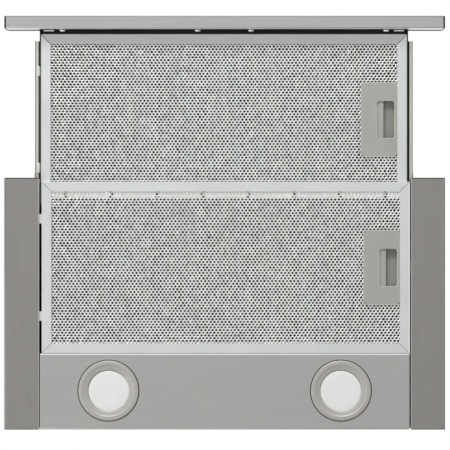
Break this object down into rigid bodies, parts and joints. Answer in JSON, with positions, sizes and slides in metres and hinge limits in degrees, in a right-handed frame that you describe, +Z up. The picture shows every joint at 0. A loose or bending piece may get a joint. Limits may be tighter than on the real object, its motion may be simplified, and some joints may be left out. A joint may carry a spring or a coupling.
{
  "type": "range hood insert",
  "caption": "Telescopic extractor hood insert: a pull-out visor and a casing with grease filters, lamps, blower and a round duct outlet on top.",
  "frame": {"origin": "middle of the duct outlet, on the top of its collar's flange", "axes": "+X to the right of someone facing the hood, +Y to the wall, +Z up along the duct"},
  "size_m": [0.498, 0.4688, 0.2135],
  "materials": {
    "brushed_bar": "fine horizontal brushing",
    "trim_steel": "fine lengthwise brushing",
    "panel_steel": "fine horizontal brushing",
    "galvanised": "plain galvanised sheet",
    "black_paint": "semi-matt black powder coat",
    "zinc": "yellow-white zinc plating",
    "filter_aluminium": "satin rolled aluminium",
    "mesh_aluminium": "expanded aluminium mesh",
    "handle_grey": "matt grey moulded plastic",
    "black_plastic": "matt black moulded plastic",
    "rubber": "soft black rubber",
    "bezel_metal": "satin nickel-coloured coat",
    "diffuser": "frosted translucent plastic",
    "led_board": "white circuit board with light sources",
    "blower_plastic": "moulded grey plastic",
    "motor_paint": "dark grey motor can",
    "steel": "ground steel"
  },
  "bodies": {
    "root": {"blower_housing_left": "blower_plastic", "blower_housing_right": "blower_plastic", "cable_gland": "black_plastic", "casing_shell": "galvanised", "casing_top": "galvanised", "closing_buffers": "rubber", "duct_collar": "black_plastic", "fixed_filter_core": "mesh_aluminium", "fixed_filter_frame": "filter_aluminium", "fixed_filter_handle": "handle_grey", "fixed_filter_mesh": "mesh_aluminium", "lamp_bezel_left": "bezel_metal", "lamp_bezel_right": "bezel_metal", "lamp_clips": "steel", "lamp_diffuser_left": "diffuser", "lamp_diffuser_right": "diffuser", "lamp_driver": "blower_plastic", "lamp_panel": "panel_steel", "led_module_left": "led_board", "led_module_right": "led_board", "motor": "motor_paint", "motor_bracket": "galvanised", "motor_bushes": "rubber", "motor_capacitor": "blower_plastic", "mounting_bracket_left": "zinc", "mounting_bracket_right": "zinc", "rear_screws": "zinc", "side_trim_left": "trim_steel", "side_trim_right": "trim_steel", "slide_fixed_left": "zinc", "slide_fixed_right": "zinc", "terminal_box": "black_plastic", "trim_rivets": "steel"},
    "visor": {"visor_tray": "black_paint", "visor_cover": "galvanised", "visor_screws": "zinc", "visor_clips": "zinc", "front_bar": "brushed_bar", "end_caps": "black_plastic", "switch_block": "black_plastic", "visor_filter_frame": "filter_aluminium", "visor_filter_mesh": "mesh_aluminium", "visor_filter_core": "mesh_aluminium", "visor_filter_handle": "handle_grey", "slide_moving_left": "zinc", "slide_moving_right": "zinc"},
    "ball_cage_left": {"ball_cage_left": "steel"},
    "ball_cage_right": {"ball_cage_right": "steel"},
    "visor_latch": {"visor_filter_latch": "handle_grey"},
    "fixed_latch": {"fixed_filter_latch": "handle_grey"},
    "fan": {"impeller": "black_plastic", "fan_shaft": "steel"},
    "flap_front": {"duct_flap_front": "black_plastic"},
    "flap_rear": {"duct_flap_rear": "black_plastic"},
    "light_button": {"light_button": "black_plastic"},
    "stop_button": {"stop_button": "black_plastic"},
    "speed_button_1": {"speed_button_1": "black_plastic"},
    "speed_button_2": {"speed_button_2": "black_plastic"},
    "speed_button_3": {"speed_button_3": "black_plastic"}
  },
  "joints": [
    {"name": "visor_slide", "type": "slide", "parent": "root", "child": "visor", "axis": [0, 1, 0], "range_m": [0, 0.1685]},
    {"name": "cage_left_slide", "type": "slide", "parent": "root", "child": "ball_cage_left", "axis": [0, 1, 0], "range_m": [0, 0.08425]},
    {"name": "cage_right_slide", "type": "slide", "parent": "root", "child": "ball_cage_right", "axis": [0, 1, 0], "range_m": [0, 0.08425]},
    {"name": "visor_latch_slide", "type": "slide", "parent": "visor", "child": "visor_latch", "axis": [-1, 0, 0], "range_m": [0, 0.0055], "stiffness_N_per_m": 600, "springref_m": -0.002},
    {"name": "fixed_latch_slide", "type": "slide", "parent": "root", "child": "fixed_latch", "axis": [-1, 0, 0], "range_m": [0, 0.0055], "stiffness_N_per_m": 600, "springref_m": -0.002},
    {"name": "fan_spin", "type": "hinge", "parent": "root", "child": "fan", "pos_m": [0, 0.013, -0.0825], "axis": [1, 0, 0], "continuous": true},
    {"name": "flap_front_swing", "type": "hinge", "parent": "root", "child": "flap_front", "pos_m": [0, 0, 0.008], "axis": [-1, 0, 0], "range_deg": [0, 75]},
    {"name": "flap_rear_swing", "type": "hinge", "parent": "root", "child": "flap_rear", "pos_m": [0, 0, 0.008], "axis": [1, 0, 0], "range_deg": [0, 75]},
    {"name": "light_button_press", "type": "slide", "parent": "visor", "child": "light_button", "axis": [0, 1, 0], "range_m": [0, 0.0022], "stiffness_N_per_m": 900, "springref_m": -0.001},
    {"name": "stop_button_press", "type": "slide", "parent": "visor", "child": "stop_button", "axis": [0, 1, 0], "range_m": [0, 0.0022], "stiffness_N_per_m": 900, "springref_m": -0.001},
    {"name": "speed_button_1_press", "type": "slide", "parent": "visor", "child": "speed_button_1", "axis": [0, 1, 0], "range_m": [0, 0.0022], "stiffness_N_per_m": 900, "springref_m": -0.001},
    {"name": "speed_button_2_press", "type": "slide", "parent": "visor", "child": "speed_button_2", "axis": [0, 1, 0], "range_m": [0, 0.0022], "stiffness_N_per_m": 900, "springref_m": -0.001},
    {"name": "speed_button_3_press", "type": "slide", "parent": "visor", "child": "speed_button_3", "axis": [0, 1, 0], "range_m": [0, 0.0022], "stiffness_N_per_m": 900, "springref_m": -0.001}
  ],
  "couplings": [
    {"joint": "cage_left_slide", "follows": "visor_slide", "ratio": 0.5},
    {"joint": "cage_right_slide", "follows": "visor_slide", "ratio": 0.5}
  ]
}
